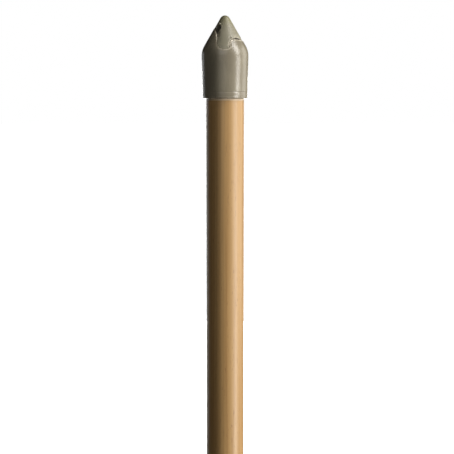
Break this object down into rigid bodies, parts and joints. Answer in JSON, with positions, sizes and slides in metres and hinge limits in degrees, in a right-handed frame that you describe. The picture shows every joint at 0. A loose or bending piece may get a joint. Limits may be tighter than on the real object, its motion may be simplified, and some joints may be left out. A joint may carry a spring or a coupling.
{
  "type": "garden dibber",
  "caption": "Straight round wooden dibber with a push-on moulded conical point, its outer shell ending in a wavy lip round a smooth nose.",
  "frame": {"origin": "middle of the shaft's flat butt end, where the tool stands", "axes": "+Z along the shaft from the butt to the tip of the point; -Y is the front, the side with the long tongue of the nose; +X to the right of it"},
  "size_m": [0.0308, 0.0308, 0.4],
  "materials": {
    "shaft_wood": "satin",
    "point_shell": "satin",
    "point_nose": "satin",
    "washer_steel": "satin"
  },
  "bodies": {
    "handle": {"shaft": "shaft_wood"},
    "point": {"point_sleeve": "point_shell", "point_nose": "point_nose", "thrust_washer": "washer_steel"}
  },
  "joints": [
    {"name": "point_pull_off", "type": "slide", "parent": "handle", "child": "point", "axis": [0, 0, 1], "range_m": [0, 0.045]}
  ]
}
